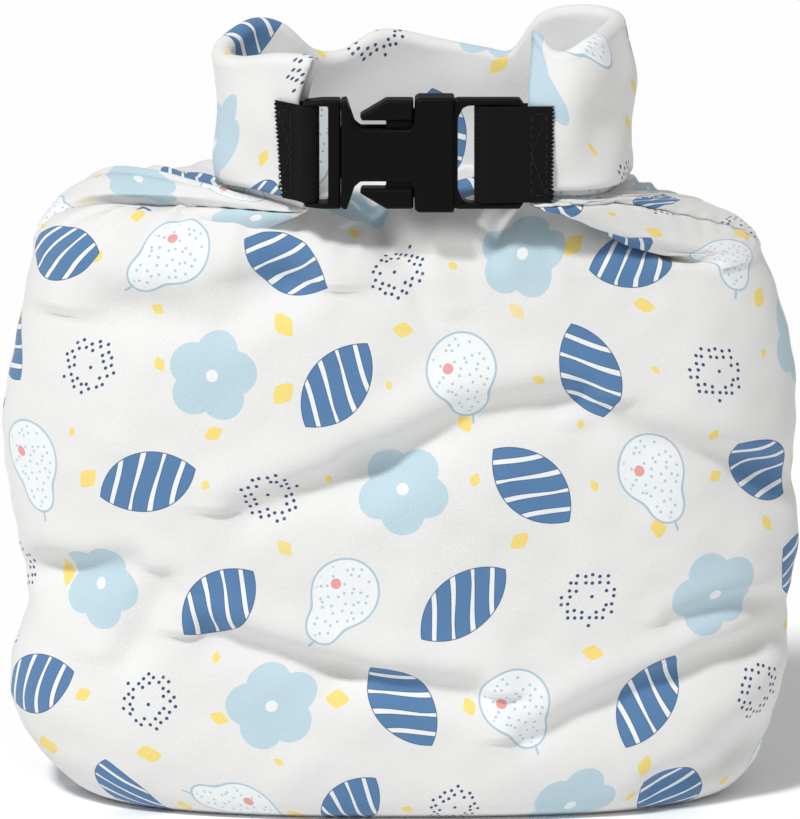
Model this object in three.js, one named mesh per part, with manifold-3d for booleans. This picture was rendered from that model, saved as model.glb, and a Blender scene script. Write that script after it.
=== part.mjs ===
// A filled fold-top wet bag: two cloth panels, two webbing tabs and a side-release buckle.
// Millimetres, +Z up, the bag stands on its flat base, and its front faces -Y.
// The origin is the middle of the base.

import * as THREE from "three";
import { mergeVertices } from "three/addons/utils/BufferGeometryUtils.js";
import Module from "manifold-3d";

const wasm = await Module();
wasm.setup();

// Cloth
const clothThickness = 1.2;
const layerGap = 0.4;
const pieceGap = 0.35;

// Filled body
const bodyHalfWidth = 153;
const bodyFrontDepth = 56;
const bodyBackDepth = 58;
const bodyHeight = 215;
const baseSeamHalf = 96;
const shoulderRise = 36;

// Folded neck
const foldHeight = 50;
const neckBase = 251;
const hemLift = 5;
const loopDepth = 74;
const leftEarReach = 66.5;
const rightEarReach = 84.5;

// Webbing and buckle
const webbingWidth = 38;
const webbingThickness = 1.6;
const tabOverlap = 9;
const leftTabTurn = THREE.MathUtils.degToRad(40);
const leftTabFree = 4.6;
const rightTabFree = 16.3;
const buckleRim = 2.7;
const buckleThickness = 10;
const buckleX = 0;
const buckleY = -57;
const plugBarX = -35;
const socketBarX = 32.5;
const barRadius = 2.2;

// The buckle stands on the band's lower edge, as tall as the webbing and its rims.
const buckleHeight = webbingWidth + 2 * buckleRim;
const buckleZ = neckBase + webbingWidth / 2;

const black = { color: 0x121213, roughness: 0.42, metalness: 0 };
const webbingBlack = { color: 0x0f0f10, roughness: 0.85, metalness: 0 };
const cloth = { color: 0xeeedea, roughness: 0.8, metalness: 0 };

// The loops of the two cloth layers in the fold lie this far apart, with room for the tab between them.
const sheetPair = 2 * clothThickness + layerGap;
const foldSpacing = sheetPair + webbingThickness + 2 * pieceGap;
const bandFree = buckleZ + webbingWidth / 2;

// The filled body from its base up. Heights are shares of bodyHeight, left and right of bodyHalfWidth,
// front and back of the two depths.
const bodyRows = [
  { height: 0.0, left: 0.75, right: 0.79, front: 0.72, back: 0.72 },
  { height: 0.016, left: 0.81, right: 0.84, front: 0.83, back: 0.83 },
  { height: 0.05, left: 0.87, right: 0.89, front: 0.9, back: 0.89 },
  { height: 0.1, left: 0.93, right: 0.923, front: 0.95, back: 0.94 },
  { height: 0.17, left: 0.979, right: 0.952, front: 0.975, back: 0.965 },
  { height: 0.25, left: 0.978, right: 0.977, front: 0.985, back: 0.985 },
  { height: 0.35, left: 0.937, right: 0.977, front: 0.99, back: 1.0 },
  { height: 0.48, left: 0.963, right: 1.005, front: 1.0, back: 1.01 },
  { height: 0.58, left: 0.987, right: 0.987, front: 1.01, back: 1.01 },
  { height: 0.69, left: 1.0, right: 0.995, front: 1.01, back: 1.0 },
  { height: 0.8, left: 0.976, right: 0.99, front: 1.0, back: 0.99 },
  { height: 0.92, left: 0.942, right: 0.948, front: 0.97, back: 0.97 },
  { height: 1.0, left: 0.92, right: 0.905, front: 0.93, back: 0.94 },
];

// How each panel climbs from the body to the neck, across its width (-1 left seam, 1 right seam).
// Shares of shoulderRise: rise carries the cloth up before it turns inwards, drop is how far below
// the neck it arrives, and flare how far outside the loop it arrives.
const frontShoulder = [
  { across: -1.0, rise: 1.1, drop: 0.2, flare: 0.15 },
  { across: -0.88, rise: 1.05, drop: 0.9, flare: 0 },
  { across: -0.62, rise: 1.2, drop: 1.3, flare: 0 },
  { across: -0.4, rise: 1.15, drop: 1.0, flare: 0 },
  { across: -0.2, rise: 1.0, drop: 0.5, flare: 0 },
  { across: -0.1, rise: 0.95, drop: 0.38, flare: 0 },
  { across: 0.1, rise: 1.3, drop: 0.36, flare: 0 },
  { across: 0.34, rise: 1.0, drop: 0.45, flare: 0 },
  { across: 0.62, rise: 0.4, drop: 0.66, flare: 0 },
  { across: 0.84, rise: 0.2, drop: 0.7, flare: 0.1 },
  { across: 1.0, rise: 0.62, drop: 0.3, flare: 1 },
];
const backShoulder = [
  { across: -1.0, rise: 1.1, drop: 0.2, flare: 0.15 },
  { across: -0.85, rise: 1.32, drop: 0.08, flare: 0.4 },
  { across: -0.62, rise: 1.14, drop: 0.26, flare: 0.5 },
  { across: -0.32, rise: 0.95, drop: 0.24, flare: 0.4 },
  { across: -0.1, rise: 0.85, drop: 0.3, flare: 0.3 },
  { across: 0.1, rise: 0.82, drop: 0.3, flare: 0.3 },
  { across: 0.34, rise: 0.8, drop: 0.24, flare: 0.4 },
  { across: 0.62, rise: 0.7, drop: 0.2, flare: 0.55 },
  { across: 0.84, rise: 0.7, drop: 0.1, flare: 0.55 },
  { across: 1.0, rise: 0.62, drop: 0.3, flare: 1 },
];

// The folded band along the neck, in shares of foldHeight: its top and bottom edges above neckBase,
// and how far its rim leans out of the loop and slides along it above the buckle.
const bandRows = [
  { across: -1.0, top: 1.12, bottom: 0.0, lean: 0, slide: -0.22 },
  { across: -0.9, top: 1.08, bottom: 0.0, lean: 0, slide: -0.1 },
  { across: -0.78, top: 0.98, bottom: 0.0, lean: 0.04, slide: 0 },
  { across: -0.68, top: 0.96, bottom: -0.02, lean: 0.08, slide: 0 },
  { across: -0.6, top: 1.02, bottom: 0.0, lean: 0.04, slide: 0 },
  { across: -0.5, top: 1.11, bottom: 0.01, lean: 0, slide: 0 },
  { across: -0.42, top: 1.05, bottom: 0.02, lean: 0, slide: 0 },
  { across: -0.34, top: 0.84, bottom: 0.02, lean: 0, slide: 0 },
  { across: -0.26, top: 0.81, bottom: 0.03, lean: 0, slide: 0 },
  { across: -0.15, top: 0.95, bottom: 0.04, lean: 0, slide: 0 },
  { across: 0.0, top: 0.88, bottom: 0.04, lean: 0, slide: 0 },
  { across: 0.13, top: 0.83, bottom: 0.04, lean: 0, slide: 0 },
  { across: 0.21, top: 0.84, bottom: 0.05, lean: 0, slide: 0 },
  { across: 0.28, top: 1.12, bottom: 0.05, lean: 0, slide: 0 },
  { across: 0.38, top: 1.22, bottom: 0.05, lean: -0.02, slide: 0 },
  { across: 0.52, top: 1.24, bottom: 0.06, lean: -0.06, slide: 0 },
  { across: 0.66, top: 1.22, bottom: 0.06, lean: -0.1, slide: 0 },
  { across: 0.8, top: 1.2, bottom: 0.07, lean: -0.14, slide: 0 },
  { across: 0.92, top: 1.12, bottom: 0.08, lean: -0.22, slide: 0 },
  { across: 1.0, top: 1.26, bottom: 0.09, lean: -0.38, slide: 0.04 },
];

// Soft folds pressed into the front panel, from one end to the other. Ends in shares of bodyHalfWidth
// across and of bodyHeight up, width and depth in mm.
const creases = [
  { x1: -0.69, z1: 0.945, x2: -0.27, z2: 1.05, width: 16, depth1: 2, depth2: 6 },
  { x1: -0.37, z1: 0.585, x2: -0.07, z2: 0.67, width: 17, depth1: 2.5, depth2: 5 },
  { x1: -0.07, z1: 0.67, x2: 0.44, z2: 0.79, width: 17, depth1: 5, depth2: 2 },
  { x1: -0.46, z1: 0.35, x2: -0.17, z2: 0.286, width: 15, depth1: 2, depth2: 4 },
  { x1: -0.17, z1: 0.286, x2: 0.17, z2: 0.25, width: 15, depth1: 4, depth2: 1.5 },
  { x1: 0.34, z1: 0.16, x2: 0.96, z2: 0.31, width: 15, depth1: 2, depth2: 4 },
  { x1: -1.0, z1: 0.418, x2: -0.69, z2: 0.473, width: 16, depth1: 7, depth2: 1.5 },
  { x1: 1.0, z1: 0.585, x2: 0.5, z2: 0.747, width: 16, depth1: 5, depth2: 1 },
  { x1: 1.0, z1: 0.374, x2: 0.7, z2: 0.374, width: 13, depth1: 4, depth2: 1 },
  { x1: 0.68, z1: 0.06, x2: 0.92, z2: 0.12, width: 16, depth1: 3, depth2: 6 },
];

// Cells of the panels' grid: across the width, and from the base seam to the mouth.
const columns = [
  { to: -0.86, cells: 3 },
  { to: -0.32, cells: 10 },
  { to: 0.12, cells: 4 },
  { to: 0.8, cells: 12 },
  { to: 1, cells: 6 },
];
const rows = [
  { to: 0.9, cells: 2 },
  { to: 1, cells: 1 },
  { to: 2, cells: 13 },
  { to: 3, cells: 8 },
  { to: 3.25, cells: 1 },
  { to: 3.5, cells: 2 },
  { to: 4, cells: 4 },
  { to: 4.5, cells: 2 },
  { to: 5, cells: 1 },
];

const clamp = THREE.MathUtils.clamp;
const lerp = THREE.MathUtils.lerp;

// Reads column `name` of a table at key, with a smooth curve through its rows.
function read(table, keyName, name, key) {
  const keys = table.map((row) => row[keyName]);
  const last = keys.length - 1;
  const k = clamp(key, keys[0], keys[last]);
  let i = 0;
  while (i < last - 1 && k > keys[i + 1]) i += 1;
  const slope = (j) => {
    const a = Math.max(j - 1, 0);
    const b = Math.min(j + 1, last);
    return (table[b][name] - table[a][name]) / (keys[b] - keys[a]);
  };
  const span = keys[i + 1] - keys[i];
  const t = (k - keys[i]) / span;
  const t2 = t * t;
  const t3 = t2 * t;
  return (
    (2 * t3 - 3 * t2 + 1) * table[i][name] +
    (t3 - 2 * t2 + t) * span * slope(i) +
    (3 * t2 - 2 * t3) * table[i + 1][name] +
    (t3 - t2) * span * slope(i + 1)
  );
}

function smooth(t) {
  const s = clamp(t, 0, 1);
  return s * s * (3 - 2 * s);
}

// The folded band seen from above, between its two straight ends: left ear, back wall, right ear.
// Across in shares of that side's ear reach, depth in shares of loopDepth.
const loopRows = [
  { across: -0.985, depth: 0.42 },
  { across: -1, depth: 0.62 },
  { across: -0.87, depth: 0.78 },
  { across: -0.6, depth: 0.86 },
  { across: -0.3, depth: 0.95 },
  { across: 0, depth: 1 },
  { across: 0.3, depth: 0.96 },
  { across: 0.6, depth: 0.85 },
  { across: 0.86, depth: 0.76 },
  { across: 0.99, depth: 0.6 },
  { across: 1, depth: 0.34 },
  { across: 0.93, depth: 0.13 },
];

// Both ends of the band point at the bars of the buckle, so that the tabs run straight.
const leftHeading = new THREE.Vector2(Math.cos(leftTabTurn), -Math.sin(leftTabTurn));
const leftOutward = new THREE.Vector2(-Math.sin(leftTabTurn), -Math.cos(leftTabTurn));
const leftEnd = new THREE.Vector2(buckleX + plugBarX, buckleY)
  .addScaledVector(leftHeading, -leftTabFree)
  .addScaledVector(leftOutward, -foldSpacing / 2);
const rightHeading = new THREE.Vector2(-1, 0);
const rightOutward = new THREE.Vector2(0, -1);
const rightEnd = new THREE.Vector2(buckleX + socketBarX, buckleY)
  .addScaledVector(rightHeading, -rightTabFree)
  .addScaledVector(rightOutward, -foldSpacing / 2);
const straightEnd = 2 * tabOverlap;
const straightTurn = 1.5;

function planPoint(row) {
  const frontY = (leftEnd.y + rightEnd.y) / 2;
  const reach = row.across < 0 ? leftEarReach : rightEarReach;
  return new THREE.Vector3(row.across * reach, frontY + row.depth * loopDepth, 0);
}

function straightPoint(end, heading, share, turn = 0) {
  return new THREE.Vector3(
    end.x - share * straightEnd * heading.x,
    end.y - share * straightEnd * heading.y + turn,
    0,
  );
}

const plan = new THREE.CatmullRomCurve3(
  [
    straightPoint(leftEnd, leftHeading, 0),
    straightPoint(leftEnd, leftHeading, 0.5),
    straightPoint(leftEnd, leftHeading, 1),
    ...loopRows.map(planPoint),
    straightPoint(rightEnd, rightHeading, 1, straightTurn),
    straightPoint(rightEnd, rightHeading, 0.5),
    straightPoint(rightEnd, rightHeading, 0),
  ],
  false,
  "centripetal",
);
plan.arcLengthDivisions = 800;

// The band's plan point and its outward direction at u.
function neckAt(u) {
  const share = clamp((u + 1) / 2, 0, 1);
  const point = plan.getPointAt(share);
  const along = plan.getTangentAt(share);
  return { x: point.x, y: point.y, alongX: along.x, alongY: along.y, outX: -along.y, outY: along.x };
}

// A point of the band: `out` to the outside of the loop from its middle, at height z.
// Above the buckle the rim leans, more and more up to leanLimit halves of the fold's height.
const leanLimit = 1.2;
const leanCurve = 1.4;

function bandPoint(u, neck, out, z) {
  const above = Math.max(z - bandFree, 0) / (foldHeight / 2);
  const bend = foldHeight * Math.min(above, leanLimit) ** leanCurve;
  const away = out + bend * read(bandRows, "across", "lean", u);
  const slide = bend * read(bandRows, "across", "slide", u);
  return new THREE.Vector3(
    neck.x + neck.outX * away + neck.alongX * slide * Math.sign(-u),
    neck.y + neck.outY * away + neck.alongY * slide * Math.sign(-u),
    z,
  );
}

// One level of the body: a rounded section, sampled so that u runs evenly along the cloth. Its corners
// are squarer at the base than from roundedFrom of the body's height up.
const SECTION_STEPS = 48;
const basePower = 2.5;
const bodyPower = 2.35;
const roundedFrom = 0.45;
const sectionCache = new Map();

function sectionPath(share, side) {
  const key = `${share.toFixed(5)} ${side}`;
  if (sectionCache.has(key)) return sectionCache.get(key);
  const power = lerp(basePower, bodyPower, smooth(share / roundedFrom));
  const depth =
    side < 0
      ? -bodyFrontDepth * read(bodyRows, "height", "front", share)
      : bodyBackDepth * read(bodyRows, "height", "back", share);
  const halves = ["left", "right"].map((name) => {
    const reach = bodyHalfWidth * read(bodyRows, "height", name, share) * (name === "left" ? -1 : 1);
    const points = [];
    let length = 0;
    for (let i = 0; i <= SECTION_STEPS; i += 1) {
      const angle = (i / SECTION_STEPS) * (Math.PI / 2);
      const x = reach * Math.sin(angle) ** (2 / power);
      const y = depth * Math.cos(angle) ** (2 / power);
      if (i > 0) length += Math.hypot(x - points[i - 1].x, y - points[i - 1].y);
      points.push({ x, y, length });
    }
    return points;
  });
  sectionCache.set(key, halves);
  return halves;
}

function sectionAt(u, share, side) {
  const points = sectionPath(share, side)[u < 0 ? 0 : 1];
  const wanted = Math.min(Math.abs(u), 1) * points[SECTION_STEPS].length;
  let i = 1;
  while (i < SECTION_STEPS && points[i].length < wanted) i += 1;
  const t = (wanted - points[i - 1].length) / (points[i].length - points[i - 1].length);
  return {
    x: lerp(points[i - 1].x, points[i].x, t),
    y: lerp(points[i - 1].y, points[i].y, t),
  };
}

// How far the creases pull the front panel in at a place on the front.
function creaseDepth(x, z) {
  let pull = 0;
  for (const c of creases) {
    const ax = c.x1 * bodyHalfWidth;
    const az = c.z1 * bodyHeight;
    const dx = c.x2 * bodyHalfWidth - ax;
    const dz = c.z2 * bodyHeight - az;
    const t = clamp(((x - ax) * dx + (z - az) * dz) / (dx * dx + dz * dz), 0, 1);
    const away = Math.hypot(x - ax - t * dx, z - az - t * dz) / c.width;
    pull += lerp(c.depth1, c.depth2, t) * Math.exp(-2 * away * away);
  }
  return pull;
}

// The lining surface between the layers: side -1 is the front panel and 1 the back one. v runs 0 to 1
// along the base, 1 to 2 up the body, 2 to 3 over the shoulder, 3 to 4 up the band and over its fold,
// and 4 to 5 down to the mouth. The body's rows crowd towards the base, and creases fade at the seams.
const liningFloor = clothThickness + layerGap / 2;
const rowCrowding = 1.25;
const creaseFade = 6;
const bendShare = 0.85;

function lining(u, v, side) {
  if (v < 1) {
    const foot = sectionAt(u, 0, side);
    const seamX = u * baseSeamHalf;
    const edge = (side * layerGap) / 2;
    return new THREE.Vector3(lerp(seamX, foot.x, v), lerp(edge, foot.y, v), liningFloor);
  }
  if (v <= 2) {
    const share = (v - 1) ** rowCrowding;
    const at = sectionAt(u, share, side);
    const z = liningFloor + share * bodyHeight;
    const pull = side < 0 ? creaseDepth(at.x, z) * smooth((1 - Math.abs(u)) * creaseFade) : 0;
    const waist = 1 - pull / bodyHalfWidth;
    return new THREE.Vector3(at.x * waist, at.y - side * pull, z);
  }
  const neck = neckAt(u);
  const hem = neckBase + foldHeight * read(bandRows, "across", "bottom", u);
  const root = hem - hemLift;
  const inner = -foldSpacing / 2;
  if (v <= 3) {
    const start = lining(u, 2, side);
    const shoulder = side < 0 ? frontShoulder : backShoulder;
    const rise = shoulderRise * read(shoulder, "across", "rise", u);
    const drop = shoulderRise * read(shoulder, "across", "drop", u);
    const flare = inner + shoulderRise * read(shoulder, "across", "flare", u);
    const above = start.clone().setZ(start.z + rise);
    const below = new THREE.Vector3(neck.x + neck.outX * flare, neck.y + neck.outY * flare, root - drop);
    const t = v - 2;
    const s = 1 - t;
    return start
      .multiplyScalar(s * s * s)
      .addScaledVector(above, 3 * s * s * t)
      .addScaledVector(below, 3 * s * t * t)
      .addScaledVector(bandPoint(u, neck, inner, root), t * t * t);
  }
  const top = neckBase + foldHeight * read(bandRows, "across", "top", u) - foldSpacing / 2;
  const bend = Math.min(bandFree, lerp(root, top, bendShare));
  if (v <= 3.25) return bandPoint(u, neck, inner, lerp(root, bend, (v - 3) * 4));
  if (v <= 3.5) return bandPoint(u, neck, inner, lerp(bend, top, (v - 3.25) * 4));
  if (v <= 4) {
    const angle = (v - 3.5) * 2 * Math.PI;
    const arch = (Math.sin(angle) * foldSpacing) / 2;
    const crown = bandPoint(u, neck, Math.cos(angle) * inner, top);
    return crown.setZ(top + arch);
  }
  if (v <= 4.5) return bandPoint(u, neck, -inner, lerp(top, bend, (v - 4) * 2));
  return bandPoint(u, neck, -inner, lerp(bend, hem, (v - 4.5) * 2));
}

function stations(from, table) {
  const list = [from];
  for (const part of table) {
    const start = list[list.length - 1];
    for (let i = 1; i <= part.cells; i += 1) list.push(lerp(start, part.to, i / part.cells));
  }
  return list;
}

// A cloth panel: the lining surface pushed outwards twice, for the inner and the outer face of the cloth.
function panelGeometry(side) {
  const halfWidth = plan.getLength() / 2;
  const us = stations(-1, columns).map((u) => u * (1 - layerGap / 2 / halfWidth));
  const vs = stations(0, rows);
  const grid = vs.map((v) => us.map((u) => lining(u, v, side)));
  const across = us.length;
  const up = vs.length;
  const positions = [];
  for (const offset of [layerGap / 2, layerGap / 2 + clothThickness]) {
    for (let r = 0; r < up; r += 1) {
      for (let c = 0; c < across; c += 1) {
        const du = grid[r][Math.min(c + 1, across - 1)].clone().sub(grid[r][Math.max(c - 1, 0)]);
        const dv = grid[Math.min(r + 1, up - 1)][c].clone().sub(grid[Math.max(r - 1, 0)][c]);
        const normal = du.cross(dv).normalize().multiplyScalar(-side);
        const p = grid[r][c].clone().addScaledVector(normal, offset);
        positions.push(p.x, p.y, Math.max(p.z, liningFloor - offset));
      }
    }
  }
  const faces = [];
  const quad = (a, b, c, d) => {
    if (side < 0) faces.push(a, b, c, a, c, d);
    else faces.push(a, c, b, a, d, c);
  };
  const id = (layer, r, c) => layer * up * across + r * across + c;
  for (let r = 0; r < up - 1; r += 1) {
    for (let c = 0; c < across - 1; c += 1) {
      quad(id(1, r, c), id(1, r, c + 1), id(1, r + 1, c + 1), id(1, r + 1, c));
      quad(id(0, r, c), id(0, r + 1, c), id(0, r + 1, c + 1), id(0, r, c + 1));
    }
    quad(id(0, r, 0), id(1, r, 0), id(1, r + 1, 0), id(0, r + 1, 0));
    quad(id(1, r, across - 1), id(0, r, across - 1), id(0, r + 1, across - 1), id(1, r + 1, across - 1));
  }
  for (let c = 0; c < across - 1; c += 1) {
    quad(id(0, 0, c), id(0, 0, c + 1), id(1, 0, c + 1), id(1, 0, c));
    quad(id(1, up - 1, c), id(1, up - 1, c + 1), id(0, up - 1, c + 1), id(0, up - 1, c));
  }
  const geometry = new THREE.BufferGeometry();
  geometry.setAttribute("position", new THREE.Float32BufferAttribute(positions, 3));
  geometry.setIndex(faces);
  geometry.computeVertexNormals();
  return geometry;
}

// A webbing tab seen from above: it starts on the outer face of the band's end, goes round a bar and
// comes back inside.
function tabGeometry(end, heading, outward, bar, centreZ) {
  const face = sheetPair / 2 + pieceGap + webbingThickness / 2;
  const wrap = barRadius + pieceGap + webbingThickness / 2;
  const mid = new THREE.Vector2(end.x, end.y).addScaledVector(outward, foldSpacing / 2);
  const path = [
    mid.clone().addScaledVector(heading, -tabOverlap).addScaledVector(outward, face),
    mid.clone().addScaledVector(heading, pieceGap).addScaledVector(outward, face),
  ];
  const turns = 8;
  for (let i = 0; i <= turns; i += 1) {
    const angle = (i / turns) * Math.PI;
    path.push(
      bar
        .clone()
        .addScaledVector(outward, Math.cos(angle) * wrap)
        .addScaledVector(heading, Math.sin(angle) * wrap),
    );
  }
  path.push(mid.clone().addScaledVector(heading, pieceGap).addScaledVector(outward, -face));
  path.push(mid.clone().addScaledVector(heading, -tabOverlap).addScaledVector(outward, -face));
  return ribbon(path, webbingThickness, centreZ - webbingWidth / 2, webbingWidth);
}

// A strip of the given thickness that follows a plan path and stands `height` tall.
function ribbon(path, thickness, bottom, height) {
  const edge = (sign) =>
    path.map((p, i) => {
      const before = path[Math.max(i - 1, 0)];
      const after = path[Math.min(i + 1, path.length - 1)];
      const into = p.clone().sub(before).normalize();
      const away = after.clone().sub(p).normalize();
      const along = i === 0 ? away : i === path.length - 1 ? into : into.clone().add(away).normalize();
      const stretch = i === 0 || i === path.length - 1 ? 1 : 1 / Math.max(along.dot(into), 0.5);
      return new THREE.Vector2(
        p.x - along.y * sign * 0.5 * thickness * stretch,
        p.y + along.x * sign * 0.5 * thickness * stretch,
      );
    });
  const shape = new THREE.Shape([...edge(1), ...edge(-1).reverse()]);
  const geometry = new THREE.ExtrudeGeometry(shape, { depth: height, bevelEnabled: false });
  geometry.translate(0, 0, bottom);
  return geometry;
}

// Solids of the buckle, in its own frame: x along the strap, y up the webbing's width, z out to the front.
function toSolid(geometry) {
  const bare = geometry.clone();
  bare.deleteAttribute("normal");
  bare.deleteAttribute("uv");
  const merged = mergeVertices(bare, 1e-4);
  return new wasm.Manifold(
    new wasm.Mesh({
      numProp: 3,
      vertProperties: new Float32Array(merged.attributes.position.array),
      triVerts: new Uint32Array(merged.index.array),
    }),
  );
}

function toGeometry(solid) {
  const mesh = solid.getMesh();
  const geometry = new THREE.BufferGeometry();
  geometry.setAttribute("position", new THREE.BufferAttribute(new Float32Array(mesh.vertProperties), 3));
  geometry.setIndex(new THREE.BufferAttribute(new Uint32Array(mesh.triVerts), 1));
  geometry.computeVertexNormals();
  return geometry;
}

// A plate with the outline's rounded corners and, where chamfer is above 0, bevelled rims.
function plate(outline, thickness, chamfer = 0, z = 0) {
  const geometry = new THREE.ExtrudeGeometry(new THREE.Shape(outline), {
    depth: thickness - 2 * chamfer,
    bevelEnabled: chamfer > 0,
    bevelSize: chamfer,
    bevelOffset: -chamfer,
    bevelThickness: chamfer,
    bevelSegments: 1,
  });
  geometry.translate(0, 0, z - thickness / 2 + chamfer);
  return toSolid(geometry);
}

function block(x1, x2, y1, y2, thickness, chamfer = 0, z = 0) {
  const corners = [
    [x1, y1],
    [x2, y1],
    [x2, y2],
    [x1, y2],
  ].map(([x, y]) => new THREE.Vector2(x, y));
  return plate(corners, thickness, chamfer, z);
}

function rod(x, length, radius, z = 0) {
  const geometry = new THREE.CylinderGeometry(radius, radius, length, 14);
  geometry.translate(x, 0, z);
  return toSolid(geometry);
}

// Mirrors the upper half of an outline, read from left to right, to make it whole.
function mirrored(half) {
  const upper = half.map(([x, y]) => new THREE.Vector2(x, y));
  const lower = half.map(([x, y]) => new THREE.Vector2(x, -y)).reverse();
  return [...lower, ...upper].filter((p, i, all) => p.distanceTo(all[(i + 1) % all.length]) > 1e-6);
}

// The buckle's walls and slots, and where its features lie along the strap.
const halfHeight = buckleHeight / 2;
const wall = 2.2;
const slotPlay = 0.3;
const slotHalf = webbingWidth / 2 + slotPlay;
const mouthX = -22.5;
const windowStart = -17.5;
const windowEnd = 5.8;
const boxEnd = 20.6;
const endRail = 3.6;
const plugRail = 4.9;
const barCover = 0.6;
const plugEnd = plugBarX - barRadius - barCover;
const socketEnd = socketBarX + rightTabFree - 1.1;

// Its heights and thicknesses.
const sideRelief = 2;
const cavityHalf = halfHeight - wall - sideRelief;
const cavityDepth = buckleThickness - 2 * wall;
const windowDepth = 11.5;
const bridgeHalf = halfHeight - windowDepth;
const frameThickness = 5.4;
const gripThickness = 2.6;
const baseThickness = 8;
const padThickness = 7.6;
const tineDepth = cavityDepth - 2 * pieceGap - slotPlay;
const barLength = 2 * slotHalf + 1;

// The socket: a mouth ring, a central bridge between two windows, a closed box and a frame of two bars.
function socketSolid() {
  const ring = [
    [mouthX, halfHeight - 0.8],
    [windowStart - 3, halfHeight - 0.3],
    [windowStart, bridgeHalf + 2],
    [windowStart + 2.4, bridgeHalf],
  ];
  const box = [
    [windowEnd - 2.2, bridgeHalf],
    [windowEnd - 0.4, bridgeHalf + 2.6],
    [windowEnd, halfHeight - 0.2],
    [windowEnd + 1.4, halfHeight + 0.8],
    [boxEnd, halfHeight + 0.8],
  ];
  const frame = [
    [boxEnd - 1, halfHeight - 2],
    [boxEnd + 1.2, halfHeight - 0.1],
    [socketEnd - 2, halfHeight - 0.1],
    [socketEnd, halfHeight - 3],
  ];
  const nearSlot = [
    [boxEnd + 1.4, slotHalf - 5],
    [boxEnd + 3.4, slotHalf - 1],
    [boxEnd + 5.6, slotHalf],
    [socketBarX, slotHalf],
  ];
  const through = 2 * buckleThickness;
  const farSlot = block(socketBarX, socketEnd - endRail, -slotHalf, slotHalf, through);
  const cavity = block(mouthX - 1, boxEnd - wall, -cavityHalf, cavityHalf, cavityDepth);
  const prongRoom = block(windowStart + 1.5, windowEnd, -buckleHeight, buckleHeight, cavityDepth);
  const trim = [1, -1].map((sign) =>
    block(
      socketEnd - endRail - 2,
      socketEnd + 1,
      -slotHalf,
      slotHalf,
      frameThickness,
      0,
      (sign * (frameThickness + gripThickness)) / 2,
    ),
  );
  return plate(mirrored([...ring, ...box]), buckleThickness, 0.8)
    .add(plate(mirrored(frame), frameThickness, 0.6))
    .subtract(plate(mirrored(nearSlot), through))
    .subtract(farSlot)
    .add(rod(socketBarX, barLength, barRadius))
    .subtract(trim[0])
    .subtract(trim[1])
    .subtract(cavity)
    .subtract(prongRoom);
}

// The plug: a frame with one bar, a guide in the middle and two springy prongs with barbed heads.
function plugSolid() {
  const frame = [
    [plugEnd, slotHalf - 2],
    [plugEnd + 1.5, halfHeight - 1.2],
    [plugEnd + 8, halfHeight - 0.4],
    [mouthX - pieceGap, halfHeight - 0.4],
  ];
  const guide = [
    [mouthX - 2, 2.6],
    [boxEnd - wall - 4, 2.6],
    [boxEnd - wall - 1.5, 1.4],
  ];
  const prong = { inner: bridgeHalf - 4.8, outer: bridgeHalf - 1.6, nose: cavityHalf - 0.8 };
  const barb = {
    root: -5.2,
    tip: -15.2,
    end: windowEnd - 0.8,
    inner: halfHeight - 8.1,
    outer: halfHeight - 0.4,
  };
  const head = [
    [barb.root, barb.inner],
    [barb.tip + 0.6, barb.inner],
    [barb.tip, barb.inner + 1.6],
    [barb.root, barb.outer],
    [barb.end, barb.outer],
  ];
  const arm = [
    [mouthX - 2, prong.inner],
    [windowEnd + 6, prong.inner],
    [windowEnd + 8.5, prong.outer],
    [windowEnd + 6, prong.nose],
    [barb.end, prong.nose],
    ...head.toReversed(),
    [barb.root, prong.outer],
    [mouthX - 2, prong.outer],
  ];
  const pad = [...head, [barb.end, barb.inner]].toReversed();
  const through = 2 * buckleThickness;
  let plug = plate(mirrored(frame), baseThickness, 0.7)
    .subtract(block(plugBarX, mouthX - plugRail, -slotHalf, slotHalf, through))
    .subtract(block(plugEnd - 1, plugBarX + 1, -slotHalf, slotHalf, through))
    .add(rod(plugBarX, barLength, barRadius))
    .add(plate(mirrored(guide), tineDepth));
  for (const sign of [1, -1]) {
    const side = (outline) => {
      const points = outline.map(([x, y]) => new THREE.Vector2(x, sign * y));
      return sign > 0 ? points : points.reverse();
    };
    plug = plug.add(plate(side(arm), tineDepth)).add(plate(side(pad), padThickness, 0.7));
  }
  return plug;
}

// Stands the buckle up in front of the band.
function placeBuckle(geometry) {
  geometry.rotateX(Math.PI / 2);
  geometry.translate(buckleX, buckleY, buckleZ);
  return geometry;
}

function piece(name, geometry, material) {
  const mesh = new THREE.Mesh(geometry, new THREE.MeshStandardMaterial(material));
  mesh.name = name;
  return mesh;
}

const bag = new THREE.Group();
bag.add(piece("front_panel", panelGeometry(-1), cloth));
bag.add(piece("back_panel", panelGeometry(1), cloth));

const plugBar = new THREE.Vector2(buckleX + plugBarX, buckleY);
const leftTab = tabGeometry(leftEnd, leftHeading, leftOutward, plugBar, buckleZ);
bag.add(piece("webbing_tab_left", leftTab, webbingBlack));

const socketBar = new THREE.Vector2(buckleX + socketBarX, buckleY);
const rightTab = tabGeometry(rightEnd, rightHeading, rightOutward, socketBar, buckleZ);
bag.add(piece("webbing_tab_right", rightTab, webbingBlack));

bag.add(piece("buckle_plug", placeBuckle(toGeometry(plugSolid())), black));
bag.add(piece("buckle_socket", placeBuckle(toGeometry(socketSolid())), black));

// The origin goes to the middle of the base.
const box = new THREE.Box3().setFromObject(bag);
const middle = box.getCenter(new THREE.Vector3()).setZ(box.min.z);
for (const mesh of bag.children) mesh.geometry.translate(-middle.x, -middle.y, -middle.z);

export default bag;
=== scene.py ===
import math

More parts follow.
